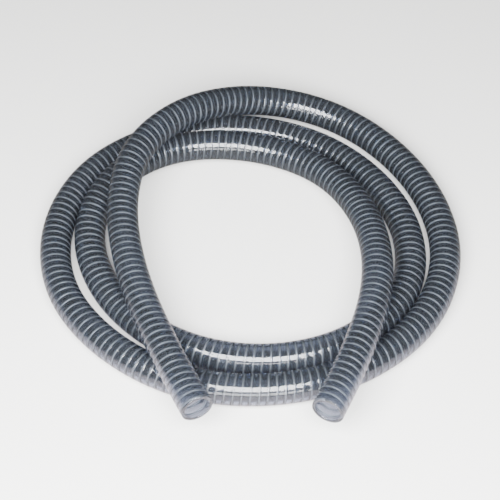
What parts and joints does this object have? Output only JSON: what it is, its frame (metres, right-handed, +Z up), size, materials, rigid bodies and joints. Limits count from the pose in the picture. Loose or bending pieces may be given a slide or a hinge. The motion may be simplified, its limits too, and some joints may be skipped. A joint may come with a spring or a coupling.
{
  "type": "siphon hose",
  "caption": "Loosely coiled clear PVC siphon hose with a steel wire helix in its wall and open, square-cut ends.",
  "frame": {"origin": "on the floor under the middle of the coil's outline", "axes": "+Z up from the floor the coil lies on, +Y away from the side where both ends come out"},
  "size_m": [0.4354, 0.4628, 0.0808],
  "materials": {
    "clear_pvc": "clear extruded PVC, faintly smoke blue",
    "steel_wire": "zinc-plated spring steel wire"
  },
  "bodies": {
    "root": {"outer_cover_end_a": "clear_pvc", "outer_cover_coil": "clear_pvc", "outer_cover_end_b": "clear_pvc", "inner_liner_end_a": "clear_pvc", "inner_liner_coil": "clear_pvc", "inner_liner_end_b": "clear_pvc", "wire_helix": "steel_wire"}
  },
  "joints": []
}
